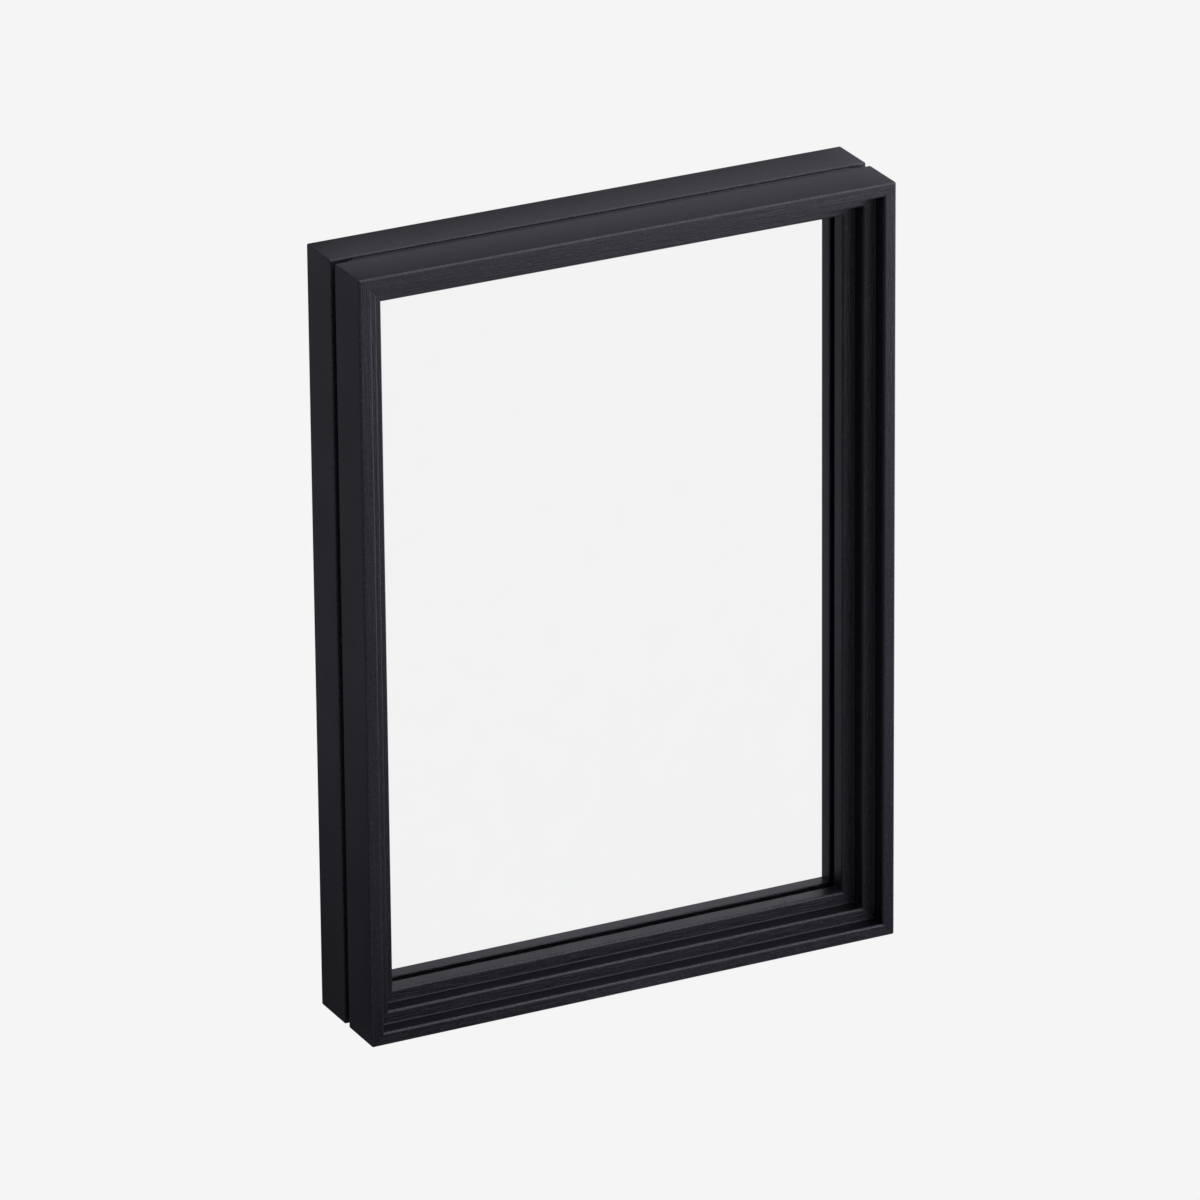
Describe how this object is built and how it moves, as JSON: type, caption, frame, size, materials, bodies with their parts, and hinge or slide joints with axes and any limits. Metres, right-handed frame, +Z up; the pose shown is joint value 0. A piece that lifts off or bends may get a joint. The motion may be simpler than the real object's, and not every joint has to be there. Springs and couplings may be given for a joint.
{
  "type": "floating frame",
  "caption": "Deep black floating picture frame: two stepped, mitred half-frames set back to back with a shadow gap, clamping a pair of clear panes.",
  "frame": {"origin": "middle of the footprint, on the surface that the frame stands on", "axes": "+Z up along the frame's height, -Y out of the front face, +X to the right seen from the front"},
  "size_m": [0.13, 0.0262, 0.18],
  "materials": {
    "black_paint_on_wood": "semi-matt black paint with a fine grain, on wooden moulding",
    "clear_acrylic": "clear polished sheet",
    "nickel_plated_magnet": "bright nickel plating",
    "galvanised_steel": "zinc-coated strip",
    "ground_steel": "ground dowel pin"
  },
  "bodies": {
    "front_half": {"front_magnet_bottom_left": "nickel_plated_magnet", "front_magnet_bottom_right": "nickel_plated_magnet", "front_magnet_top_left": "nickel_plated_magnet", "front_magnet_top_right": "nickel_plated_magnet", "front_pane": "clear_acrylic", "front_rail_bottom": "black_paint_on_wood", "front_rail_top": "black_paint_on_wood", "front_stile_left": "black_paint_on_wood", "front_stile_right": "black_paint_on_wood", "front_v_nail_bottom_left": "galvanised_steel", "front_v_nail_bottom_right": "galvanised_steel", "front_v_nail_top_left": "galvanised_steel", "front_v_nail_top_right": "galvanised_steel", "locating_pin_rail_bottom_1": "ground_steel", "locating_pin_rail_bottom_2": "ground_steel", "locating_pin_rail_top_1": "ground_steel", "locating_pin_rail_top_2": "ground_steel", "locating_pin_stile_left_1": "ground_steel", "locating_pin_stile_left_2": "ground_steel", "locating_pin_stile_right_1": "ground_steel", "locating_pin_stile_right_2": "ground_steel"},
    "back_half": {"back_magnet_bottom_left": "nickel_plated_magnet", "back_magnet_bottom_right": "nickel_plated_magnet", "back_magnet_top_left": "nickel_plated_magnet", "back_magnet_top_right": "nickel_plated_magnet", "back_pane": "clear_acrylic", "back_rail_bottom": "black_paint_on_wood", "back_rail_top": "black_paint_on_wood", "back_stile_left": "black_paint_on_wood", "back_stile_right": "black_paint_on_wood", "back_v_nail_bottom_left": "galvanised_steel", "back_v_nail_bottom_right": "galvanised_steel", "back_v_nail_top_left": "galvanised_steel", "back_v_nail_top_right": "galvanised_steel"}
  },
  "joints": [
    {"name": "back_half_pull", "type": "slide", "parent": "front_half", "child": "back_half", "axis": [0, 1, 0], "range_m": [0, 0.03]}
  ]
}
